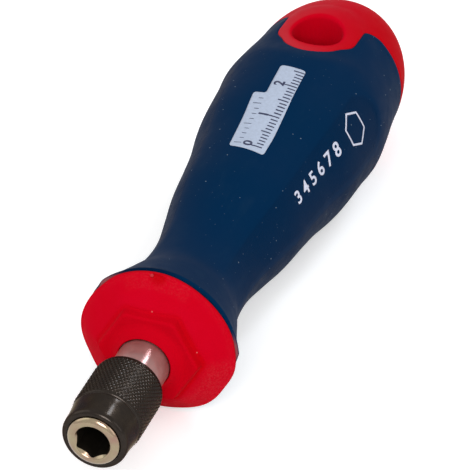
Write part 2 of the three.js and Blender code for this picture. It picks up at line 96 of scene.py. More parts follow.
# Where the flange's rim leaves its circle: middle and half width in degrees, and the rise
FLANGE_RISES = (
    (103, 22, 0.35), (140, 28, 0.5), (220, 28, 0.5), (271, 28, 0.5), (40, 44, -0.35),
    (-50, 18, -0.2),
)
BOSS_FLATS = 18.4
BOSS_CORNER = 1.4
BODY_RADIUS = 5.35
HOLE_RADIUS = 5.4
HOLE_PLACE = 95.4
HOLE_RIM = 0.7
LAND_RISE = 0.1
LAND_SLOPE = 0.025
LAND_INNER = 6.5
LAND_OUTER = 14.0
BIB_WIDTH = 3.3
BIB_REACH = HOLE_RADIUS + BIB_WIDTH
BIB_PLACE = HOLE_PLACE + 0.5
BIB_TIP = 1.15
BIB_WAIST = 0.6
CAP_PLACE = 104.8
CAP_CORNER = 3.4
GRIP_WALL = 0.5
CAP_WALL = 0.45

# Chuck
BODY_END = 38.5
BODY_CHAMFER = 0.8
NOSE_ROUND = 1.05
NOSE_CREST = 3.95
GROOVE_RADIUS = 4.95
GROOVE_FRONT = 1.3
GROOVE_BACK = 2.3
SOCKET_FLATS = 6.4
SOCKET_CORNER = 3.56
SOCKET_LEAD = 0.4
MAGNET_RADIUS = 2.7
MAGNET_END = 3.2
SLEEVE_REAR = 3.0
SLEEVE_RADIUS = 6.93
SLEEVE_BORE = 5.55
BALL_RECESS = 5.99
SPRING_BORE = 6.25
KNURL_RADIUS = 7.2
KNURL_DEPTH = 0.2
KNURL_START = -9.15
KNURL_END = 2.25
KNURL_DIAMONDS = 56
KNURL_STEPS = 6
KNURL_ROWS = 54
SPRING_WIRE = 0.5
SPRING_TURNS = 4.5


# Meshes

def add_object(name, data):
    obj = bpy.data.objects.new(name, data)
    bpy.context.scene.collection.objects.link(obj)
    return obj


def circle_angles(count, start=0.0):
    return np.linspace(start, start + 2 * math.pi, count + 1)[:-1]


def polar(radius, angle, y):
    """Points round the axis."""
    both = np.broadcast_arrays(radius * np.sin(angle), y, radius * np.cos(angle))
    return np.stack(both, axis=-1)


def arc(centre, size, degrees):
    """Points of a profile (radius, y) on an arc, or on an oval where its size is a pair."""
    wide, high = np.broadcast_to(size, 2)
    return [(centre[0] + wide * math.cos(t), centre[1] + high * math.sin(t))
            for t in np.radians(degrees)]


def outward(mesh):
    """Turns all faces over if the one furthest from the axis looks inwards."""
    far = max(mesh.polygons, key=lambda p: math.hypot(p.center.x, p.center.z))
    if far.normal.dot(Vector((far.center.x, 0, far.center.z))) < 0:
        mesh.flip_normals()


def sharpen(obj, degrees):
    obj.data.set_sharp_from_angle(angle=math.radians(degrees))
    return obj


def add_wall(obj, name, thickness):
    """Gives a surface a thickness in millimetres, inwards."""
    solid = obj.modifiers.new(name, "SOLIDIFY")
    solid.thickness = thickness * MM
    solid.offset = -1
    return obj


class Builder:
    """Collects points and faces of one piece, in millimetres."""

    def __init__(self):
        self.points = np.zeros((0, 3))
        self.faces = []

    def add(self, points, faces):
        start = len(self.points)
        self.points = np.vstack([self.points, np.reshape(points, (-1, 3))])
        self.faces += [tuple(start + i for i in face) for face in faces]

    def add_both(self, points, faces):
        """Adds a part of the upper side and its mirror image below."""
        self.add(points, faces)
        self.add(points * np.array([1, 1, -1]), [face[::-1] for face in faces])

    def add_rings(self, rings):
        """Rings of as many points each, joined by quads. A ring may be one point."""
        for low, high in zip(rings, rings[1:]):
            low, high = np.atleast_2d(low), np.atleast_2d(high)
            count = max(len(low), len(high))
            faces = []
            for i in range(count):
                j = (i + 1) % count
                if len(low) == 1:
                    faces.append((0, 1 + j, 1 + i))
                elif len(high) == 1:
                    faces.append((i, j, count))
                else:
                    faces.append((i, j, count + j, count + i))
            self.add(np.vstack([low, high]), faces)

    def piece(self, name, body="handle"):
        """The smooth piece, with its points welded and its faces turned outwards."""
        mesh = bpy.data.meshes.new(name)
        mesh.from_pydata((self.points * MM).tolist(), [], self.faces)
        mesh.validate()
        mesh.shade_smooth()
        welded = bmesh.new()
        welded.from_mesh(mesh)
        bmesh.ops.remove_doubles(welded, verts=welded.verts, dist=1e-3 * MM)
        bmesh.ops.recalc_face_normals(welded, faces=welded.faces)
        welded.to_mesh(mesh)
        welded.free()
        outward(mesh)
        obj = add_object(name, mesh)
        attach(obj, body)
        return obj


def piece_of_rings(name, rings, body="handle"):
    build = Builder()
    build.add_rings(rings)
    return build.piece(name, body)


# Handle form

def catmull_rom(points, samples):
    """The same curve through the outline's points as in the frame's model."""
    points = np.array(points, float)
    count = len(points)
    place = np.linspace(0, count - 1, samples)
    index = np.minimum(place.astype(int), count - 2)
    w = (place - index)[:, None]
    before = points[np.maximum(index - 1, 0)]
    p, q = points[index], points[index + 1]
    after = points[np.minimum(index + 2, count - 1)]
    a, b = (q - before) / 2, (after - p) / 2
    return (2 * p - 2 * q + a + b) * w ** 3 + (-3 * p + 3 * q - 2 * a - b) * w ** 2 + a * w + p


outline = catmull_rom(
    [(GUARD_BACK, GUARD_RADIUS)]
    + [(along * LENGTH, out * RADIUS) for along, out in OUTLINE]
    + [(DOME_START, DOME_RADIUS)], 900)


def smoothstep(low, high, value):
    t = np.clip((value - low) / (high - low), 0, 1)
    return t * t * (3 - 2 * t)


def between(rise, fall, value):
    """1 between two soft steps, each given by its start and end."""
    return smoothstep(*rise, value) * (1 - smoothstep(*fall, value))


def floor_radius(s):
    """Radius of the form without its flutes and ridges, dome and guard edge included."""
    s = np.asarray(s, float)
    along = np.clip(s - DOME_START, 0, DOME_LENGTH)
    turn = np.arcsin(along / DOME_LENGTH)
    dome = (DOME_RADIUS - DOME_TAPER * along) * np.cos(turn)
    edge = np.clip(GUARD_BACK - s, 0, GUARD_EDGE)
    guard = GUARD_RADIUS - GUARD_EDGE + np.sqrt(np.maximum(GUARD_EDGE ** 2 - edge ** 2, 0))
    radius = np.where(s > DOME_START, dome, np.interp(s, outline[:, 0], outline[:, 1]))
    return np.where(s < GUARD_BACK, guard, radius)


def hole_land(s, angle):
    """How far the land round the hang hole stands above the round form, above and below."""
    radius = floor_radius(s)
    away = np.hypot(radius * np.sin(angle), s - HOLE_PLACE)
    level = float(floor_radius(HOLE_PLACE)) + LAND_RISE + LAND_SLOPE * (s - HOLE_PLACE)
    share = 1 - smoothstep(LAND_INNER, LAND_OUTER, away)
    return share * (level - radius) * np.where(np.abs(s - HOLE_PLACE) < LAND_OUTER, 1, 0)


def ridge_ends(s):
    """The ridges' height as two shares, which fall off towards the flange and the cap."""
    start = smoothstep(0.06 * LENGTH, 0.2 * LENGTH, s)
    end = 1 - smoothstep(0.55 * LENGTH, FLUTE_END, s)
    return start, end


def side_across(angle):
    """Degrees from the nearer of the handle's top and bottom, and the place across a side flute,
    which is 0 at its middle and 1 at its ridges."""
    turned = np.abs(np.mod(np.degrees(angle) + 90, 180) - 90)
    half = (SIDE_RIDGE - TOP_RIDGE) / 2
    return turned, np.abs(turned - TOP_RIDGE - half) / half


def flute_stop(across):
    """Where a side flute's bowed end lies."""
    return FLUTE_END - FLUTE_BOW * (1 - np.sqrt(1 - across ** 2))


def flute_drop(s, angle):
    turned, across = side_across(angle)
    start, end = ridge_ends(s)
    top = TOP_FLUTE * (1 - (turned / TOP_RIDGE) ** 2) * start * end
    across = np.minimum(across, 1)
    stop = flute_stop(across)
    side = SIDE_FLUTE * (1 - across ** 2) * start * (1 - smoothstep(stop - FLUTE_STEP, stop, s))
    return np.where(turned <= TOP_RIDGE, top, side)


def guard_corner(s, angle):
    """How far the guard's rim stands out at its two blunt corners."""
    out = 0
    for middle, before, after, rise in GUARD_CORNERS:
        away = np.degrees(angle) - middle
        near = np.clip(1 - np.where(away < 0, -away / before, away / after), 0, 1)
        out = out + rise * near ** 1.4
    return out * (1 - smoothstep(1.8, 4.5, s))


def form_radius(s, angle):
    """The form's radius, with its ridges rounded over a few degrees."""
    start, end = ridge_ends(s)
    drop = 0
    for turn, weight in RIDGE_ROUNDING:
        drop = drop + weight * flute_drop(s, angle + math.radians(turn))
    # The top is rubbed a little flat where it stands highest
    along = np.exp(-((s - CREST_PLACE) / CREST_REACH) ** 2)
    crest = CREST_LOSS * along * np.abs(np.cos(angle)) ** 20
    radius = floor_radius(s) + hole_land(s, angle) + SIDE_FLUTE * start * end
    return radius - drop - HAIR - crest + guard_corner(s, angle)


def flute_zone(s, angle):
    """1 inside the grained side flutes and 0 outside."""
    _, across = side_across(angle)
    inside = 1 - smoothstep(0.84, 0.93, across)
    stop = flute_stop(np.minimum(across, 1)) - 0.7
    return inside * between((12, 26), (stop - 0.5, stop), s)


def top_surface(x, s):
    """Height z and angle of the form's upper side over a place in plan."""
    z = np.full(np.shape(x), RADIUS)
    for _ in range(14):
        radius = form_radius(s, np.arctan2(x, z))
        z = np.sqrt(np.maximum(radius ** 2 - x ** 2, 0))
    return z, np.arctan2(x, z)


# Rear of the handle: grip and hard cap, parted along the bib and cap line. For its triangles the
# upper half is laid out flat: u is an arc on a cylinder of PLAN_RADIUS, from -SIDE to SIDE.

REAR_START = 80.0
REAR_END = 107.0
COLUMNS = 180
PLAN_RADIUS = 17.0
SIDE = PLAN_RADIUS * math.pi / 2
FILL_STEP = (0.55, 0.6)
FILL_SHIFT = 0.27
SEAM_WIDTH = 0.35
SEAM_DEPTH = 0.26
SEAM_STEPS = (-0.35, -0.2, -0.1, -0.04, 0, 0.04, 0.1, 0.2, 0.35)
HOLE_COLUMNS = 96


def bib_radius(away):
    """The bib's outline from the hole, longest towards the grip. away is in degrees from there."""
    tip = BIB_TIP * np.exp(-(away / 24) ** 2)
    return BIB_REACH + tip - BIB_WAIST * np.exp(-((away - 55) / 16) ** 2)


def seam_line(offset):
    """The parting line in plan, moved towards the grip by an offset, from -X to +X."""
    bib = BIB_REACH + offset
    corner = CAP_CORNER - offset
    edge = CAP_PLACE - offset
    # The bib's sides leave it where they meet the corner's arc
    flank = [(-x, edge) for x in
             np.linspace(0, 1, 40)[::-1] * (RADIUS - bib - corner) + bib + corner]
    for turn in np.radians(np.linspace(90, 0, 14)[1:]):
        flank.append((-bib - corner + corner * math.cos(turn),
                      edge - corner + corner * math.sin(turn)))
    bow = []
    for degrees in np.linspace(180, 360, 80):
        reach = float(bib_radius(abs(degrees - 270))) + offset
        turn = math.radians(degrees)
        bow.append((reach * math.cos(turn), BIB_PLACE + reach * math.sin(turn)))
    return flank + bow + [(-x, s) for x, s in flank[::-1]]


def seam_distance(x, s):
    """Signed distance in plan from the parting line: above 0 on the hard plastic's side."""
    x = np.abs(x)
    side = CAP_PLACE - CAP_CORNER
    towards_grip = np.degrees(np.arctan2(x, BIB_PLACE - s))
    round_bib = bib_radius(towards_grip) - np.hypot(x, s - BIB_PLACE)
    corner = np.hypot(x - BIB_REACH - CAP_CORNER, s - side) - CAP_CORNER
    return np.select(
        [s < BIB_PLACE, s < side, x < BIB_REACH, x < BIB_REACH + CAP_CORNER],
        [round_bib, BIB_REACH - x, np.maximum(BIB_REACH - x, 0.01), corner], s - CAP_PLACE)


def seam_groove(distance):
    """How far the surface falls towards the parting line."""
    t = np.clip(1 - np.abs(distance) / SEAM_WIDTH, 0, 1)
    return SEAM_DEPTH * (1 - np.sqrt(1 - t * t))


def hole_wall(turn):
    """Radius of the hole's wall, a little longer towards the grip."""
    towards_grip = np.maximum(np.cos(turn - math.radians(280)), 0)
    return HOLE_RADIUS + 0.05 + 0.1 * np.cos(turn) + 0.45 * towards_grip ** 2


def hole_rim(turn):
    """Radius of the hole's rounded rim, larger on the cap's side."""
    return HOLE_RIM + 0.2 * np.maximum(np.cos(turn - math.radians(100)), 0)


def hole_away(x, s):
    """Distance in plan from the edge of the hole's rim."""
    turn = np.arctan2(s - HOLE_PLACE, x)
    return np.hypot(x, s - HOLE_PLACE) - hole_wall(turn) - hole_rim(turn)


def laid_out(x, s):
    """Points in plan, laid out flat."""
    _, angle = top_surface(x, s)
    return list(zip(angle * PLAN_RADIUS, s))


def seam_row(offset):
    """The line at an offset from the parting line, laid out from side to side."""
    x, s = np.array(seam_line(-offset)).T
    keep = np.abs(x) < floor_radius(s) - 0.02
    end = CAP_PLACE + offset
    return [(-SIDE, end)] + laid_out(x[keep], s[keep]) + [(SIDE, end)]


def side_places():
    """Places of the points down the patch's sides, denser at the parting line."""
    clear = [s for s in np.linspace(REAR_START, REAR_END, 46)[1:-1] if abs(s - CAP_PLACE) > 0.6]
    return sorted(clear + [CAP_PLACE + offset for offset in SEAM_STEPS])


def filling():
    """Points in staggered rows, clear of the parting line and the hole."""
    u, s = np.meshgrid(np.arange(-SIDE + FILL_STEP[0], SIDE - 0.4, FILL_STEP[0]),
                       np.arange(REAR_START + 0.5, REAR_END - 0.3, FILL_STEP[1]))
    u[::2] += FILL_SHIFT
    u, s = u.ravel(), s.ravel()
    x = form_radius(s, u / PLAN_RADIUS) * np.sin(u / PLAN_RADIUS)
    clear = (np.abs(seam_distance(x, s)) > SEAM_WIDTH + 0.2) & (hole_away(x, s) > 0.25)
    clear &= np.abs(u) < SIDE - 0.3
    return list(zip(u[clear], s[clear]))


def rear_patch():
    """The upper half of the rear, triangulated along the parting line and round the hang hole.
    Returns its points, its grip triangles, its cap triangles and the points of the hole's edge."""
    flat, edges = [], []

    def add_line(points, closed=False):
        first, count = len(flat), len(points)
        flat.extend(points)
        edges.extend((first + i, first + i + 1) for i in range(count - 1))
        if closed:
            edges.append((first + count - 1, first))
        return range(first, first + count)

    across = np.linspace(-SIDE, SIDE, COLUMNS // 2 + 1)
    places = side_places()
    add_line([(u, REAR_START) for u in across] + [(SIDE, s) for s in places]
             + [(u, REAR_END) for u in across[::-1]] + [(-SIDE, s) for s in places[::-1]],
             closed=True)
    for offset in SEAM_STEPS:
        add_line(seam_row(offset))
    turns = circle_angles(HOLE_COLUMNS)
    reach = hole_wall(turns) + hole_rim(turns)
    hole = add_line(laid_out(reach * np.cos(turns), HOLE_PLACE + reach * np.sin(turns)),
                    closed=True)
    flat += filling()

    found = delaunay_2d_cdt([Vector(p) for p in flat], edges, [], 1, 1e-7, True)
    corners, faces, origins = found[0], found[2], found[3]
    u, s = np.array([tuple(p) for p in corners]).T
    angle = u / PLAN_RADIUS
    radius = form_radius(s, angle)
    x = radius * np.sin(angle)
    points = polar(radius - seam_groove(seam_distance(x, s)), angle, s + FLANGE_Y)
    new_place = {old: new for new, olds in enumerate(origins) for old in olds}
    edge = [new_place[i] for i in hole]
    open_hole = set(edge)
    grip, cap = [], []
    for face in faces:
        if not open_hole.issuperset(face):
            inside = seam_distance(x[list(face)].mean(), s[list(face)].mean()) > 0
            (cap if inside else grip).append(tuple(face))
    return points, grip, cap, edge


ring_angles = circle_angles(COLUMNS, -math.pi)
patch_points, patch_grip, patch_cap, hole_edge = rear_patch()


def form_ring(s):
    return polar(form_radius(s, ring_angles), ring_angles, s + FLANGE_Y)


def soft_grip():
    """The soft moulding, from under the flange to the parting line."""
    inside = GUARD_FRONT - 0.1 + FLANGE_Y
    rings = [polar(radius, ring_angles, inside) for radius in (9.0, 13.0)]
    rings += [form_ring(GUARD_BACK - GUARD_EDGE * math.cos(t))
              for t in np.radians((0, 20, 40, 60, 80, 90))]
    rings += [form_ring(s) for s in np.linspace(GUARD_BACK, REAR_START, 161)[1:]]
    build = Builder()
    build.add_rings(rings)
    build.add_both(patch_points, patch_grip)
    return add_wall(build.piece("grip_overmould"), "wall", GRIP_WALL)


def hang_hole():
    """Rings of the hang hole's upper half: its rounded rim, and its wall to the middle."""
    edge = patch_points[hole_edge]
    turn = np.arctan2(edge[:, 1] - FLANGE_Y - HOLE_PLACE, edge[:, 0])
    rings = [edge]
    for t in np.radians((15, 30, 45, 60, 75, 90)):
        reach = hole_wall(turn) + hole_rim(turn) * (1 - math.sin(t))
        x, s = reach * np.cos(turn), HOLE_PLACE + reach * np.sin(turn)
        z, _ = top_surface(x, s)
        rings.append(np.stack([x, s + FLANGE_Y, z - hole_rim(turn) * (1 - math.cos(t))], axis=-1))
    return rings + [rings[-1] * np.array([1, 1, share]) for share in (0.8, 0.6, 0.4, 0.2, 0)]


def hard_cap():
    """The hard core's rear: bibs, dome and hang hole."""
    build = Builder()
    build.add_both(patch_points, patch_cap)
    rings = [form_ring(s) for s in np.linspace(REAR_END, DOME_START + 0.99 * DOME_LENGTH, 48)]
    rings += [form_ring(DOME_START + share * DOME_LENGTH) for share in (0.995, 0.9985)]
    build.add_rings(rings + [np.array([[0, LENGTH + FLANGE_Y, 0]])])
    hole = Builder()
    hole.add_rings(hang_hole())
    build.add_both(hole.points, hole.faces)
    return add_wall(build.piece("handle_cap"), "wall", CAP_WALL)


# Front of the handle: flange, hexagon boss and collar, as profiles of (radius, s)

FRONT_BORE = 7.0
RIM_BACK = 0.3
RIM_FRONT = 0.45
RIM_MIDDLE = 0.3
CONE_START = -0.15
CONE_CROWN = 0.28
BOSS_FOOT = -4.5
BOSS_TOP = -5.95
BOSS_FILLET = 0.6
BOSS_EDGE = 0.7
BOSS_DRAFT = 0.4
COLLAR_RISE = 1.95
COLLAR_LOW = BODY_RADIUS + 0.35
COLLAR_HIGH = BODY_RADIUS + 2.9
GATE_X = -0.3
GATE_PLACE = 15.0
GATE_SIZE = (1.8, 0.85)
GATE_DEPTH = 0.75
NIB_PLACE = (-1.35, FLANGE_Y - 0.05, 15.3)
NIB_SIZE = 0.36
front_angles = circle_angles(240)


def lobed_radius(angle):
    radius = np.full(angle.shape, FLANGE_RADIUS)
    for middle, half, rise in FLANGE_RISES:
        away = np.abs(np.mod(np.degrees(angle) - middle + 180, 360) - 180)
        radius += rise * np.cos(np.radians(90 * np.minimum(away / half, 1))) ** 2
    return radius


def hexagon_radius(angle, flats, corner):
    """Radius of a rounded hexagon with flats above and below."""
    apothem = flats / 2
    away = np.abs(np.mod(np.degrees(angle) + 30, 60) - 30)
    flat = apothem / np.cos(np.radians(away))
    half = (apothem - corner) * math.tan(math.radians(30))
    reach = (apothem - corner) / math.cos(math.radians(30))
    delta = np.radians(30 - away)
    chord = np.sqrt(np.maximum(corner ** 2 - (reach * np.sin(delta)) ** 2, 0))
    on_flat = apothem * np.tan(np.radians(away)) <= half
    return np.where(on_flat, flat, reach * np.cos(delta) + chord)


def boss_radius(inset):
    """The boss's outline, further in by an inset or further out by a negative one."""
    return hexagon_radius(front_angles, BOSS_FLATS - 2 * inset, BOSS_CORNER - max(inset, 0))


def flange_profile(rim):
    """The flange's back and its rounded rim."""
    back = arc((rim - RIM_BACK, FLANGE_THICKNESS - RIM_BACK), RIM_BACK, (90, 70, 45, 20, 0))
    front = arc((rim - RIM_FRONT, RIM_MIDDLE), RIM_FRONT, (0, -25, -50, -75, -90))
    return [(FRONT_BORE, FLANGE_THICKNESS)] + back + [(rim, RIM_FRONT)] + front


def cone_profile(rim, boss):
    """The flange's crowned cone and the fillet at its top, and the places where it meets the
    boss, which are further back at the boss's corners."""
    low, high = rim - RIM_FRONT, boss + BOSS_FILLET
    most = rim.max() - RIM_FRONT - (BOSS_FLATS + BOSS_DRAFT) / 2 - BOSS_FILLET
    base = BOSS_FOOT * (1 + (low - high) / most) / 2
    cone = [(low * (1 - t) + high * t,
             CONE_START + (base - CONE_START) * t - CONE_CROWN * math.sin(math.pi * t))
            for t in np.linspace(0, 1, 15)[1:]]
    return cone + arc((high, base - 0.5), (BOSS_FILLET, 0.5), (105, 120, 135, 150, 165)), base


def boss_profile(base):
    """The boss's sides, its rounded edge and its face."""
    top = BOSS_TOP + BOSS_EDGE
    sides = [(boss_radius(-BOSS_DRAFT / 2 * (1 - t)), (base - 0.4) * (1 - t) + top * t)
             for t in (0.25, 0.5, 0.75)]
    edge = [(boss_radius(BOSS_EDGE * (1 - math.cos(t))), top - BOSS_EDGE * math.sin(t))
            for t in np.radians(range(0, 91, 15))]
    face = [(boss_radius(BOSS_EDGE) * (1 - t) + COLLAR_HIGH * t, BOSS_TOP)
            for t in (0.25, 0.5, 0.75, 1)]
    return sides + edge + face


def collar_profile():
    """A hollow sweep from the boss's face up to the neck, and the bore behind it."""
    lip = BOSS_TOP - COLLAR_RISE
    sweep = [(COLLAR_HIGH + (COLLAR_LOW - COLLAR_HIGH) * t, BOSS_TOP - COLLAR_RISE * t ** 2.4)
             for t in np.linspace(0, 1, 11)[1:]]
    return sweep + [(BODY_RADIUS + 0.15, lip + 0.12), (BODY_RADIUS + 0.1, lip + 0.5),
                    (BODY_RADIUS + 0.1, 1.0), (FRONT_BORE, FLANGE_THICKNESS)]


def gate_mark(ring):
    """The gate's dimple near the flange's upper rim."""
    x, z = ring[:, 0] - GATE_X, ring[:, 2] - GATE_PLACE
    away = np.sqrt((x / GATE_SIZE[0]) ** 2 + (z / GATE_SIZE[1]) ** 2)
    depth = GATE_DEPTH * (1 - smoothstep(0.35, 1.15, away))
    front = ring[:, 1] < FLANGE_Y + 0.1
    return ring + np.outer(front * depth, (0, 1, 0))


def gate_nib():
    """A crumb of plastic left beside the gate."""
    turns = circle_angles(12)
    circle = np.stack([np.cos(turns), 0 * turns, np.sin(turns)], axis=-1)
    tip = np.array([0, 1, 0])
    rings = [circle * math.cos(t) + tip * math.sin(t) for t in np.radians((-60, -30, 0, 30, 60))]
    return [ring * NIB_SIZE + np.array(NIB_PLACE) for ring in [-tip] + rings + [tip]]


def handle_front():
    """The hard core's front."""
    rim = lobed_radius(front_angles)
    cone, base = cone_profile(rim, boss_radius(-BOSS_DRAFT / 2))
    profile = flange_profile(rim) + cone + boss_profile(base) + collar_profile()
    build = Builder()
    build.add_rings([gate_mark(polar(radius, front_angles, s + FLANGE_Y))
                     for radius, s in profile])
    build.add_rings(gate_nib())
    return build.piece("handle_front")


# Chuck

def chuck_body():
    """Steel body: rounded nose, lead-in cone and hexagon socket down to the seat."""
    angles = circle_angles(240)
    away = np.abs(np.mod(np.degrees(angles), 60) - 30)
    socket = np.minimum(SOCKET_FLATS / 2 / np.cos(np.radians(away)), SOCKET_CORNER)
    outside = [(BODY_RADIUS - BODY_CHAMFER, BODY_END), (BODY_RADIUS, BODY_END - BODY_CHAMFER)]
    outside += [(BODY_RADIUS, y) for y in (24, 12, 9, 6, 4, GROOVE_BACK)]
    outside += [(GROOVE_RADIUS, GROOVE_BACK), (GROOVE_RADIUS, GROOVE_FRONT)]
    outside += [(BODY_RADIUS, y) for y in (GROOVE_FRONT, 0, -4, -8, -12, NOSE_Y + 1.4)]
    outside += arc((NOSE_CREST, NOSE_Y + NOSE_ROUND), (BODY_RADIUS - NOSE_CREST, NOSE_ROUND),
                   np.linspace(0, -90, 15))
    outside += arc((NOSE_CREST, NOSE_Y + SOCKET_LEAD), SOCKET_LEAD, (250, 230, 210))
    # The cone reaches the socket's corners before its flats
    mouth, mouth_y = outside[-1]
    meet = mouth_y + (mouth - socket) * 1.15
    inside = [(mouth + (socket - mouth) * share, mouth_y + (meet - mouth_y) * share)
              for share in (0.33, 0.66, 0.94)]
    inside += [(socket, meet + 0.06)] + [(socket, y) for y in (-13.5, -10, -5, 0)]
    inside += [(MAGNET_RADIUS, 0.0), (MAGNET_RADIUS - 0.1, MAGNET_END)]
    rings = [polar(radius, angles, y) for radius, y in outside + inside]
    ends = [np.array([[0, y, 0]]) for y in (BODY_END, MAGNET_END)]
    return sharpen(piece_of_rings("bit_holder_body", ends[:1] + rings + ends[1:]), 24)


def knurl_height(column, row):
    """The crossed knurl's height as a share of its depth, which fades at both ends."""
    one = np.abs(np.mod(column + row, KNURL_STEPS) / KNURL_STEPS - 0.5) * 2
    two = np.abs(np.mod(column - row, KNURL_STEPS) / KNURL_STEPS - 0.5) * 2
    height = np.minimum(np.minimum(1 - one, 1 - two) / 0.62, 1)
    return height * float(smoothstep(0, 2, row) * smoothstep(0, 2, KNURL_ROWS - row))


def locking_sleeve():
    """Sleeve with a smooth taper in front, and a crossed knurl behind a fine groove."""
    valley = KNURL_RADIUS - KNURL_DEPTH
    column = np.arange(KNURL_DIAMONDS * KNURL_STEPS)
    angles = circle_angles(len(column))
    front = [(5.45, -15.62)] + arc((5.7, -14.75), 0.92, np.linspace(262, 350, 11))
    front += [(6.64, -14.3), (6.68, -12.4), (6.83, -10.8), (SLEEVE_RADIUS, -9.95)]
    front += [(SLEEVE_RADIUS, -9.78), (6.84, -9.66), (6.73, -9.6), (6.73, -9.42), (6.82, -9.34),
              (valley - 0.06, -9.28)]
    knurl = []
    for row in range(KNURL_ROWS + 1):
        y = KNURL_START + (KNURL_END - KNURL_START) * row / KNURL_ROWS
        knurl.append((valley + KNURL_DEPTH * knurl_height(column, row), y))
    rear = arc((6.42, 2.4), 0.58, range(0, 91, 15)) + [(5.75, SLEEVE_REAR), (5.6, 2.95)]
    bore = [(SLEEVE_BORE, 2.85), (SLEEVE_BORE, 2.4), (SPRING_BORE, 2.4), (SPRING_BORE, -4.8),
            (SLEEVE_BORE, -4.8), (SLEEVE_BORE, -7), (BALL_RECESS, -9.2), (BALL_RECESS, -9.9),
            (SLEEVE_BORE, -9.9), (5.45, -15.5), front[0]]
    rings = [polar(radius, angles, y) for radius, y in front + knurl + rear + bore]
    return sharpen(piece_of_rings("knurled_sleeve", rings, "sleeve"), 60)


def sleeve_spring():
    """The sleeve's helical spring, wound to fill the box of its part."""
    low, high = (np.array(corner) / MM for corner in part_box("sleeve_spring"))
    half = SPRING_WIRE / 2
    radius = high[0] - half
    count = int(SPRING_TURNS * 48) + 1
    turns = np.linspace(0, 2 * math.pi * SPRING_TURNS, count)
    places = np.linspace(low[1] + half, high[1] - half, count)
    rise = (places[-1] - places[0]) / (turns[-1] * radius)
    rolls = circle_angles(12)
    rings = []
    for turn, y in zip(turns, places):
        out = np.array([math.sin(turn), 0, math.cos(turn)])
        forward = np.array([math.cos(turn), rise, -math.sin(turn)]) / math.hypot(1, rise)
        wire = np.outer(np.cos(rolls), out) + np.outer(np.sin(rolls), np.cross(out, forward))
        rings.append(radius * out + np.array([0, y, 0]) + half * wire)
    ends = [ring.mean(axis=0) for ring in (rings[0], rings[-1])]
    piece = piece_of_rings("coil_spring", ends[:1] + rings + ends[1:])
    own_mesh(piece)
    return sharpen(piece, 60)


# Prints on the grip: flat outlines, cut fine enough to follow the surface

INK_THICKNESS = 0.02
PRINT_LIFT = 0.05
MARK_LIFT = 0.08
PRINT_RADIUS = 0.94 * RADIUS
CUT_STEP = 0.6


def wrap(name, mesh, middle, lift):
    """Lays a flat mesh on the grip: its +x runs towards the cap and its +y up the handle's side.
    middle is its place in millimetres and its angle in degrees."""
    build = bmesh.new()
    build.from_mesh(mesh)
    for axis, normal in enumerate((Vector((1, 0, 0)), Vector((0, 1, 0)))):
        along = [v.co[axis] for v in mesh.vertices]
        for place in np.arange(min(along) + CUT_STEP / 2, max(along), CUT_STEP):
            bmesh.ops.bisect_plane(build, geom=build.verts[:] + build.edges[:] + build.faces[:],
                                   plane_co=normal * place, plane_no=normal, dist=1e-6)
    for v in build.verts:
        s = middle[0] + v.co.x
        angle = math.radians(middle[1]) - v.co.y / PRINT_RADIUS
        v.co = Vector(polar(float(form_radius(s, angle)) + lift, angle, s + FLANGE_Y)) * MM
    bmesh.ops.recalc_face_normals(build, faces=build.faces)
    out = bpy.data.meshes.new(name)
    build.to_mesh(out)
    build.free()
    out.shade_smooth()
    outward(out)
    obj = add_object(name, out)
    add_wall(obj, "ink", INK_THICKNESS)
    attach(obj, "handle")
    return obj


def flat_mesh(points, faces):
    mesh = bpy.data.meshes.new("flat")
    mesh.from_pydata([(x, y, 0) for x, y in points], [], faces)
    return mesh


def is_inside(outline, x, y):
    crossings = 0
    for i, (to_x, to_y) in enumerate(outline):
        from_x, from_y = outline[i - 1]
        if (from_y > y) != (to_y > y):
            crossings += x < from_x + (to_x - from_x) * (y - from_y) / (to_y - from_y)
    return crossings % 2 == 1


def filled(outline):
    """A flat mesh inside a closed outline, which may be hollow in places."""
    edges = [(i, (i + 1) % len(outline)) for i in range(len(outline))]
    found = delaunay_2d_cdt([Vector(p) for p in outline], edges, [], 0, 1e-6, True)
    points = np.array([tuple(p) for p in found[0]])
    faces = [face for face in found[2] if is_inside(outline, *points[face].mean(axis=0))]
    return flat_mesh(points, faces)


def band(outer, inner):
    """A flat mesh between two outlines with as many points."""
    count = len(outer)
    faces = [(i, (i + 1) % count, count + (i + 1) % count, count + i) for i in range(count)]
    return flat_mesh(outer + inner, faces)


def ticks(places, reaches, foot, width):
    """A row of plain strokes: reaches are their lengths from a common foot."""
    points, faces = [], []
    for x, reach in zip(places, reaches):
        first = len(points)
        points += [(x - width, foot), (x + width, foot), (x + width, foot + reach),
                   (x - width, foot + reach)]
        faces.append(range(first, first + 4))
    return flat_mesh(points, faces)


def digits(text, size):
    """Plain digits in Blender's own font, a little bolder than it is."""
    curve = bpy.data.curves.new("text", "FONT")
    curve.body = text
    curve.size = size
    curve.offset = 0.09
    curve.align_x = curve.align_y = "CENTER"
    obj = add_object("text", curve)
    bpy.context.view_layer.update()
    evaluated = obj.evaluated_get(bpy.context.evaluated_depsgraph_get())
    mesh = bpy.data.meshes.new_from_object(evaluated)
    bpy.data.objects.remove(obj)
    return mesh


def rounded(corners, radius):
    """A closed outline with its corners rounded."""
    points = []
    count = len(corners)
    for i, corner in enumerate(corners):
        here = Vector(corner)
        before = (Vector(corners[i - 1]) - here).normalized() * radius
        after = (Vector(corners[(i + 1) % count]) - here).normalized() * radius
        for share in np.linspace(0, 1, 7):
            points.append(tuple(here + before * (1 - share) ** 2 + after * share ** 2))
    return points


# Nodes. A node that works on another one's output is added to that one's tree.

def feed(node, inputs):
    """Links other nodes' outputs to a node's sockets, or sets the sockets to values."""
    for key, value in inputs.items():
        if isinstance(value, bpy.types.NodeSocket):
            node.id_data.links.new(value, node.inputs[key])
        else:
            node.inputs[key].default_value = value


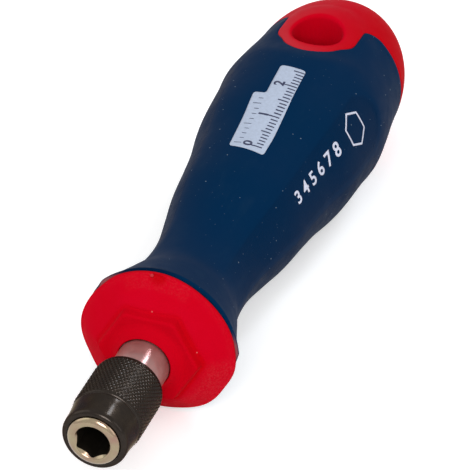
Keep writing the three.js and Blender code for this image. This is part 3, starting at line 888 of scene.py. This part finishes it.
def add(tree, kind, inputs=None, **settings):
    node = tree.nodes.new(kind)
    for key, value in settings.items():
        setattr(node, key, value)
    feed(node, inputs or {})
    return node


def place(tree, stretch=(1, 1, 1)):
    coordinates = add(tree, "ShaderNodeTexCoord").outputs["Object"]
    return add(tree, "ShaderNodeMapping", {"Vector": coordinates, "Scale": stretch}).outputs[0]


def attribute(tree, name):
    return add(tree, "ShaderNodeAttribute", attribute_name=name).outputs["Fac"]


def noise(vector, scale, detail=3, rough=0.5):
    return add(vector.id_data, "ShaderNodeTexNoise", {
        "Vector": vector, "Scale": scale, "Detail": detail, "Roughness": rough}).outputs["Fac"]


def remap(value, low, high, to_low=0.0, to_high=1.0):
    return add(value.id_data, "ShaderNodeMapRange", {
        "Value": value, "From Min": low, "From Max": high, "To Min": to_low, "To Max": to_high},
        clamp=True).outputs[0]


def blend(factor, one, two):
    inputs = {0: factor, 6: one, 7: two}
    return add(factor.id_data, "ShaderNodeMix", inputs, data_type="RGBA").outputs[2]


def calculate(operation, one, two):
    return add(one.id_data, "ShaderNodeMath", {0: one, 1: two}, operation=operation).outputs[0]


def times(one, two):
    return calculate("MULTIPLY", one, two)


def bump(height, strength, distance, under=None):
    """A relief of a distance in millimetres, over another one if that is given."""
    inputs = {"Height": height, "Strength": strength, "Distance": distance * MM}
    if under is not None:
        inputs["Normal"] = under
    return add(height.id_data, "ShaderNodeBump", inputs).outputs[0]


def specks(vector, scale, size, share):
    """Small round dots in a share of the cells of a scattered pattern."""
    tree = vector.id_data
    cells = add(tree, "ShaderNodeTexVoronoi", {"Vector": vector, "Scale": scale}).outputs
    near = remap(cells["Distance"], size * 0.6, size, 1, 0)
    chosen = add(tree, "ShaderNodeSeparateColor", {"Color": cells["Color"]}).outputs[0]
    return times(near, calculate("LESS_THAN", chosen, share))


def seen_directly(tree):
    """1 for what the camera, a reflection or glass shows, and 0 for light that falls on things."""
    rays = add(tree, "ShaderNodeLightPath").outputs
    shown = calculate("MAXIMUM", rays["Is Camera Ray"], rays["Is Glossy Ray"])
    return calculate("MAXIMUM", shown, rays["Is Transmission Ray"])


# Materials

def shader(name, **values):
    """A new material, its nodes and its shader, which has the values given."""
    material = bpy.data.materials.new(name)
    material.use_nodes = True
    principled = material.node_tree.nodes["Principled BSDF"]
    for key, value in values.items():
        principled.inputs[key.replace("_", " ")].default_value = value
    return material, material.node_tree, principled


def layered(colour, layers):
    """Covers a colour with others in turn: each layer is its cover, its most and its colour."""
    for cover, most, over in layers:
        colour = blend(cover if most == 1 else times(cover, most), colour, over)
    return colour


def soft_plastic():
    """Soft moulding: fine matt grain, coarser in the side flutes, dust specks and dull smears."""
    material, tree, principled = shader(
        "soft_blue", Specular_IOR_Level=0.005, Sheen_Weight=0.032, Sheen_Roughness=0.45,
        Sheen_Tint=(1.0, 0.62, 0.18, 1))
    vector = place(tree)
    zone = attribute(tree, "flute_zone")
    cloud = remap(noise(vector, 60, 4, 0.6), 0.38, 0.75)
    smear = remap(noise(place(tree, (1, 0.35, 1)), 230, 5, 0.65), 0.56, 0.8)
    faint = times(specks(vector, 900, 0.11, 0.3), 0.2)
    clear = times(specks(vector, 600, 0.1, 0.2), 0.75)
    colour = layered((0.0003, 0.0205, 0.066, 1), (
        (cloud, 0.2, (0.0012, 0.023, 0.06, 1)),
        (zone, 0.3, (0.0006, 0.0125, 0.041, 1)),
        (smear, 0.09, (0.03, 0.07, 0.1, 1)),
        # Painted shade on the guard's rim next to the flange, the boss, the dimple and the cap's
        # right
        (attribute(tree, "painted_shade"), 0.6, (0.0004, 0.006, 0.022, 1)),
        (attribute(tree, "scuff"), 1, (0.34, 0.105, 0.11, 1)),
        (calculate("MAXIMUM", faint, clear), 1, (0.2, 0.26, 0.32, 1))))
    rough = remap(noise(vector, 400), 0.3, 0.7, 0.46, 0.6)
    fine = bump(noise(vector, 5200, 2), 0.25, 0.03)
    grain = times(noise(vector, 2600, 2, 0.6), zone)
    feed(principled, {"Base Color": colour, "Roughness": rough,
                      "Normal": bump(grain, 0.6, 0.09, fine)})
    return material


def hard_plastic():
    """Hard moulding: satin with faint mottling, pale scuffs and specks, rougher where it is
    rubbed. It also carries painted shade, painted sheen on the cap's left and a painted highlight
    round the flange's rim.
    """
    material, tree, principled = shader(
        "hard_red", Specular_IOR_Level=0.006, Sheen_Weight=0.016, Sheen_Roughness=0.4,
        Sheen_Tint=(1.0, 0.55, 0.6, 1))
    vector = place(tree)
    wear_and_highlight = attribute(tree, "wear_and_highlight")
    cloud = remap(noise(vector, 110, 4, 0.6), 0.4, 0.75)
    mottle = remap(noise(vector, 2900, 3, 0.7), 0.46, 0.72)
    amount = calculate("ADD", times(mottle, 0.14), 0.005)
    amount = calculate("ADD", times(amount, wear_and_highlight), 0.002)
    colour = layered((0.58, 0.0003, 0.011, 1), (
        (cloud, 0.35, (0.605, 0.0015, 0.021, 1)),
        # Pale dust and a pale crumb, which on the cap's left also paints a sheen
        (attribute(tree, "dust_and_sheen"), 1, (0.6, 0.12, 0.14, 1)),
        # Pale wear mottling, partly painted light on the flange, and a painted highlight round its
        # rim
        (amount, 1, (0.74, 0.16, 0.17, 1)),
        # Painted shade on the boss, in the gate's dimple, behind the flange's rim and on the cap's
        # right
        (attribute(tree, "painted_shade"), 0.6, (0.5, 0.0002, 0.001, 1)),
        (specks(vector, 420, 0.08, 0.13), 0.35, (0.85, 0.3, 0.28, 1))))
    rough = remap(noise(vector, 500, 4), 0.3, 0.7, 0.55, 0.7)
    fine = bump(noise(vector, 2300, 3, 0.6), 0.25, 0.03)
    pits = times(noise(vector, 1300, 3, 0.65), wear_and_highlight)
    feed(principled, {"Base Color": colour, "Roughness": rough,
                      "Normal": bump(pits, 0.7, 0.12, fine)})
    return material


def steel(name, colour, roughness, turned=False, tint=(1, 1, 1)):
    """Steel with an oily film and darker stains: plain, or turned, with marks round the axis."""
    # A turned piece's pink specular tint paints in a reflection of the red plastic
    values = {"Anisotropic": 0.85, "Anisotropic_Rotation": 0.25,
              "Specular_Tint": (0.6, 0.36, 0.33, 1)} if turned else {}
    material, tree, principled = shader(
        name, Metallic=1.0, Coat_Weight=0.3, Coat_IOR=2.0, Coat_Roughness=0.1, **values)
    marks = noise(place(tree, (0.05, 1, 0.05) if turned else (1, 1, 1)), 9000, 3, 0.6)
    stain = remap(noise(place(tree), 350, 4, 0.6), 0.35, 0.7)
    darker = tuple(0.78 * a * b for a, b in zip(colour, tint)) + (1,)
    feed(principled, {
        "Base Color": blend(stain, colour, darker),
        "Roughness": remap(marks, 0.3, 0.7, roughness - 0.03, roughness + 0.05),
        "Normal": bump(marks, 0.15, 0.004)})
    if turned:
        tangent = add(tree, "ShaderNodeTangent", direction_type="RADIAL", axis="Y").outputs[0]
        feed(principled, {"Tangent": tangent})
    return material


def black_oxide():
    """Blackened steel: nearly black with a brown cast, worn brighter where it is touched."""
    material, tree, principled = shader(
        "black_steel", Metallic=1.0, Coat_Weight=0.1, Coat_IOR=2.0, Coat_Roughness=0.15,
        Specular_Tint=(0.42, 0.36, 0.26, 1))
    vector = place(tree)
    patch = remap(noise(vector, 420, 5, 0.65), 0.4, 0.72)
    edge = add(tree, "ShaderNodeNewGeometry").outputs["Pointiness"]
    colour = layered((0.0165, 0.0115, 0.0085, 1), (
        (patch, 1, (0.027, 0.019, 0.0135, 1)),
        (remap(edge, 0.52, 0.64), 0.3, (0.1, 0.1, 0.1, 1))))
    marks = noise(place(tree, (0.06, 1, 0.06)), 7000, 2)
    feed(principled, {
        "Base Color": colour, "Roughness": remap(noise(vector, 1500), 0.3, 0.7, 0.2, 0.3),
        "Normal": bump(marks, 0.2, 0.008)})
    return material


def ink(name, colour):
    """Printed ink, slightly worn into the grain."""
    material, tree, principled = shader(name, Roughness=0.55)
    vector = place(tree)
    thin = remap(noise(vector, 1800, 4, 0.65), 0.3, 0.75)
    tone = tuple(0.82 * c for c in colour[:3]) + (1,)
    feed(principled, {"Base Color": blend(thin, colour, tone),
                      "Normal": bump(noise(vector, 4200, 2), 0.25, 0.02)})
    return material


def dress(obj, *materials):
    obj.data.materials.clear()
    for material in materials:
        obj.data.materials.append(material)


# Wear, dust, painted shade and painted light: a value at each point, which the piece's material
# reads

def coordinates(obj):
    """The points' x, s and z in millimetres."""
    values = np.empty(3 * len(obj.data.vertices), np.float32)
    obj.data.vertices.foreach_get("co", values)
    x, y, z = values.astype(float).reshape(-1, 3).T / MM
    return x, y - FLANGE_Y, z


def mark(obj, name, values):
    layer = obj.data.attributes.new(name, "FLOAT", "POINT")
    layer.data.foreach_set("value", np.asarray(values, np.float32))


def mark_grip(obj):
    """The flutes' grain, painted shade on the guard's rim towards the left next to the flange, and
    the guard's corners, rubbed most in front.
    """
    x, s, z = coordinates(obj)
    angle = np.arctan2(x, z)
    mark(obj, "flute_zone", flute_zone(s, angle))
    # Painted shade on the guard's rim next to the flange, towards the left
    left = 1 - smoothstep(-8, 18, np.degrees(angle))
    mark(obj, "painted_shade", (1 - smoothstep(1.7, 3.0, s)) * left)
    rubbed = np.minimum(5 * guard_corner(s, angle), 1) * (1 - smoothstep(1.3, 1.75, s))
    mark(obj, "scuff", 0.8 * rubbed)


def mark_front(obj):
    """Pale mottled wear on the flange's lower right and at the gate, which also paints those
    places lighter as if lit, and a painted highlight round the rim. Painted shade on the boss, in
    the dimple and behind the rim. A pale crumb."""
    x, s, z = coordinates(obj)
    turned, reach = np.degrees(np.arctan2(x, z)), np.hypot(x, z)
    # Pale wear at the lower right and the gate, partly painted light, and a painted highlight
    # round the rim
    low_right = between((84, 100), (150, 165), turned) * smoothstep(10, 12.5, reach)
    gate = between((-30, -24), (24, 30), turned) * smoothstep(13.0, 13.8, reach)
    rim = smoothstep(14.4, 15.0, reach)
    mark(obj, "wear_and_highlight", np.maximum.reduce((low_right, 0.5 * gate, 0.25 * rim)))

    # Painted shade on the boss's sides and face, in the gate's dimple and on the flange's back
    past_boss = reach - hexagon_radius(np.arctan2(x, z), BOSS_FLATS, BOSS_CORNER)
    sides = between((-0.5, 0), (0.5, 1.4), past_boss) * (1 - smoothstep(-2.6, -1.8, s))
    sides = sides * (0.6 + 0.4 * smoothstep(20, 45, turned))
    face = 0.5 * (1 - smoothstep(-0.5, 0.2, past_boss))
    dimple = 1 - smoothstep(0.5, 1.3, np.hypot(x / 1.8, (z - GATE_PLACE) / 0.9))
    back = smoothstep(0.1, 0.5, s)
    mark(obj, "painted_shade", np.maximum.reduce((sides, face, dimple, back)))

    away = np.linalg.norm(np.stack([x, s + FLANGE_Y, z], axis=-1) - NIB_PLACE, axis=-1)
    mark(obj, "dust_and_sheen", 0.4 * (away < NIB_SIZE + 0.01))


def mark_cap(obj):
    """Dust on the cap's left, which also paints a sheen there, and along the parting line, and
    painted shade, a deeper red, towards its right.
    """
    x, s, _ = coordinates(obj)
    near = 1 - smoothstep(0.4, 3.2, seam_distance(x, s))
    open_air = smoothstep(-0.3, 0.2, hole_away(x, s))
    # Paler on the cap's left: dust, and a painted sheen
    settled_and_sheen = 0.03 + 0.12 * (1 - smoothstep(-6, 5, x)) + 0.08 * near * (1 - smoothstep(2, 9, x))
    mark(obj, "dust_and_sheen", open_air * settled_and_sheen)
    # Painted shade: a deeper red towards the cap's right
    mark(obj, "painted_shade", open_air * smoothstep(0, 13, x))


def part_steels(obj):
    """Gives the body's nose its second material and its socket the third, a near-black steel that
    paints the shade inside the socket.
    """
    for polygon in obj.data.polygons:
        out, y = math.hypot(polygon.center.x, polygon.center.z) / MM, polygon.center.y / MM
        if y < NOSE_Y + 1.3:
            polygon.material_index = 1 if out > 3.3 or y < NOSE_Y + 0.6 else 2
        elif out < 4 and y < 3.3:
            polygon.material_index = 2


# Assembly of the pieces

blue = soft_plastic()
red = hard_plastic()
# The neck's pink colour and tint paint in a reflection of the red plastic beside it
bright = steel("bright_steel", (0.4, 0.225, 0.21, 1), 0.31, turned=True)
# The nose's gold tone paints in a warm reflection
nose_steel = steel("nose_steel", (0.3, 0.25, 0.145, 1), 0.19, tint=(1.15, 0.82, 1.0))
# The socket's near-black steel paints the shade inside it
socket_steel_in_painted_shade = steel("socket_steel_in_painted_shade", (0.05, 0.04, 0.03, 1), 0.5)
spring_steel = steel("spring_steel", (0.42, 0.41, 0.4, 1), 0.3)
magnet_plate = steel("magnet_plate", (0.5, 0.5, 0.5, 1), 0.3)
polished = steel("ball_steel", (0.72, 0.72, 0.72, 1), 0.12)
dark = black_oxide()
pale_ink = ink("pale_ink", (0.68, 0.7, 0.84, 1))
field_ink = ink("field_ink", (0.47, 0.54, 0.68, 1))
deep_ink = ink("deep_ink", (0.006, 0.012, 0.06, 1))

grip = soft_grip()
mark_grip(grip)
dress(grip, blue)
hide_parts("soft_grip")

front = handle_front()
mark_front(front)
cap = hard_cap()
mark_cap(cap)
for part in (cap, front):
    dress(part, red)
    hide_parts("handle_core")
    sharpen(part, 50)

body = chuck_body()
dress(body, bright, nose_steel, socket_steel_in_painted_shade)
part_steels(body)
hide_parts("chuck_body")

sleeve = locking_sleeve()
dress(sleeve, dark)
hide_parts("locking_sleeve")

spring = sleeve_spring()
dress(spring, spring_steel)
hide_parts("sleeve_spring")

for node, material in (
        ("magnet", magnet_plate), ("lock_ball_1", polished), ("lock_ball_2", polished),
        ("thrust_washer", spring_steel), ("retaining_ring", spring_steel)):
    dress(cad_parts[node], material)

# Prints: a plain hexagon outline, plain numbers and a plain pale scale with two rows of ticks
HEXAGON_OUTER = 4.02
HEXAGON_INNER = 0.872 * HEXAGON_OUTER
SCALE_PLACE = 64.0
SCALE_ZERO = -12.2
SCALE_OUTLINE = [(-13.2, 4.85), (-14.1, -4.75), (-8.0, -4.7), (5.0, -3.7), (13.8, -3.4),
                 (14.0, 2.1), (4.0, 2.05), (4.3, 4.9)]
SIXTEENTH = 25.4 / 16

outer, inner = ([(reach * math.cos(t), reach * math.sin(t))
                 for t in circle_angles(6, math.radians(95))]
                for reach in (HEXAGON_OUTER, HEXAGON_INNER))
coarse = [2.9 if i % 10 == 0 else 2.4 if i % 5 == 0 else 1.7 for i in range(26)]
fine = [1.9 if i % 4 == 0 else 1.1 for i in range(10)]
coarse_places = np.arange(len(coarse)) + SCALE_ZERO
fine_places = SIXTEENTH * np.arange(len(fine)) - 12.0
on_scale = (SCALE_PLACE, 0.0)
prints = [
    ("print_hexagon", band(outer, inner), (74.6, 61.4), PRINT_LIFT, pale_ink),
    ("print_numbers", digits("3 4 5 6 7 8", 4.6), (56.9, 60.6), PRINT_LIFT, pale_ink),
    ("print_field", filled(rounded(SCALE_OUTLINE, 0.9)), on_scale, PRINT_LIFT, field_ink),
    ("print_ticks", ticks(coarse_places, coarse, -3.5, 0.16), on_scale, MARK_LIFT, deep_ink),
    ("print_fine_ticks", ticks(fine_places, fine, 2.0, 0.07), on_scale, MARK_LIFT, deep_ink)]
# The nought stands a little in, so that it stays on the scale
for digit, along in zip("012", (0.4, 10, 20)):
    middle = (SCALE_PLACE + SCALE_ZERO + along, -0.9)
    prints.append((f"print_digit_{digit}", digits(digit, 3.1), middle, MARK_LIFT, deep_ink))
for name, mesh, middle, lift, material in prints:
    dress(wrap(name, mesh, middle, lift), material)

# Camera at the photograph's angle. The handle lies turned a little about its axis.
CAMERA_PLACE = (0.20061, -0.49969, 0.39905)
CAMERA_RIGHT = (0.94122, 0.33777, 0.00315)
CAMERA_UP = (-0.19112, 0.52483, 0.82947)
FOCAL_PIXELS = 3500
IMAGE_PIXELS = 470

roll = Matrix.Rotation(-math.radians(1.2), 4, "Y")
right, up = Vector(CAMERA_RIGHT), Vector(CAMERA_UP)
camera_data = bpy.data.cameras.new("camera")
camera_data.lens = FOCAL_PIXELS * camera_data.sensor_width / IMAGE_PIXELS
camera_data.clip_start = 0.01
camera = add_object("camera", camera_data)
turned = Matrix((right, up, right.cross(up))).transposed().to_4x4()
camera.matrix_world = roll @ Matrix.Translation(CAMERA_PLACE) @ turned
bpy.context.scene.camera = camera

# Floor under the flange and the handle, which it meets at a slight slope. Both it and the world
# are white to the eye and in reflections, and softer as light.
FLOOR_HALF = 1.5
FLOOR_DEPTH = 0.01605
FLOOR_SLOPE = 1.75
FLOOR_GLOW = 0.48
WORLD_LIGHT = 0.42

floor = add_object("floor", flat_mesh(
    [(x * FLOOR_HALF, y * FLOOR_HALF) for x, y in ((-1, -1), (1, -1), (1, 1), (-1, 1))],
    [range(4)]))
floor.matrix_world = (roll @ Matrix.Translation((0, FLANGE_Y * MM, -FLOOR_DEPTH))
                      @ Matrix.Rotation(-math.radians(FLOOR_SLOPE), 4, "X"))

material, tree, principled = shader("floor", Roughness=0.9)
glow = add(tree, "ShaderNodeEmission", {
    "Color": (1, 1, 1, 1), "Strength": times(seen_directly(tree), FLOOR_GLOW)})
total = add(tree, "ShaderNodeAddShader", {0: principled.outputs[0], 1: glow.outputs[0]})
feed(tree.nodes["Material Output"], {"Surface": total.outputs[0]})
dress(floor, material)

world = bpy.data.worlds.new("world")
bpy.context.scene.world = world
world.use_nodes = True
light = remap(seen_directly(world.node_tree), 0, 1, WORLD_LIGHT, 1.0)
feed(world.node_tree.nodes["Background"], {"Color": (1, 1, 1, 1), "Strength": light})


def area_light(name, direction, distance, size, power, colour=(1, 1, 1)):
    """A soft rectangular light that looks at the handle's middle."""
    data = bpy.data.lights.new(name, "AREA")
    data.shape = "RECTANGLE"
    data.size, data.size_y = size
    data.energy = power
    data.color = colour
    light = add_object(name, data)
    direction = (roll.to_3x3() @ Vector(direction)).normalized()
    light.location = Vector((0, 0.06, 0)) + direction * distance
    light.rotation_euler = direction.to_track_quat("Z", "Y").to_euler()


area_light("window", (0.31, 0.71, 0.64), 0.9, (0.1, 0.36), 2.1, (0.82, 0.9, 1.0))
area_light("front", (0.2, -0.8, 0.6), 1.1, (0.45, 0.45), 6.3)
area_light("left", (-0.8, -0.1, 0.6), 1.1, (0.9, 0.9), 2.2)
area_light("right", (0.9, -0.25, 0.45), 1.1, (0.6, 0.6), 1.25)

bpy.context.scene.view_settings.view_transform = "Standard"

bpy.context.view_layer.update()
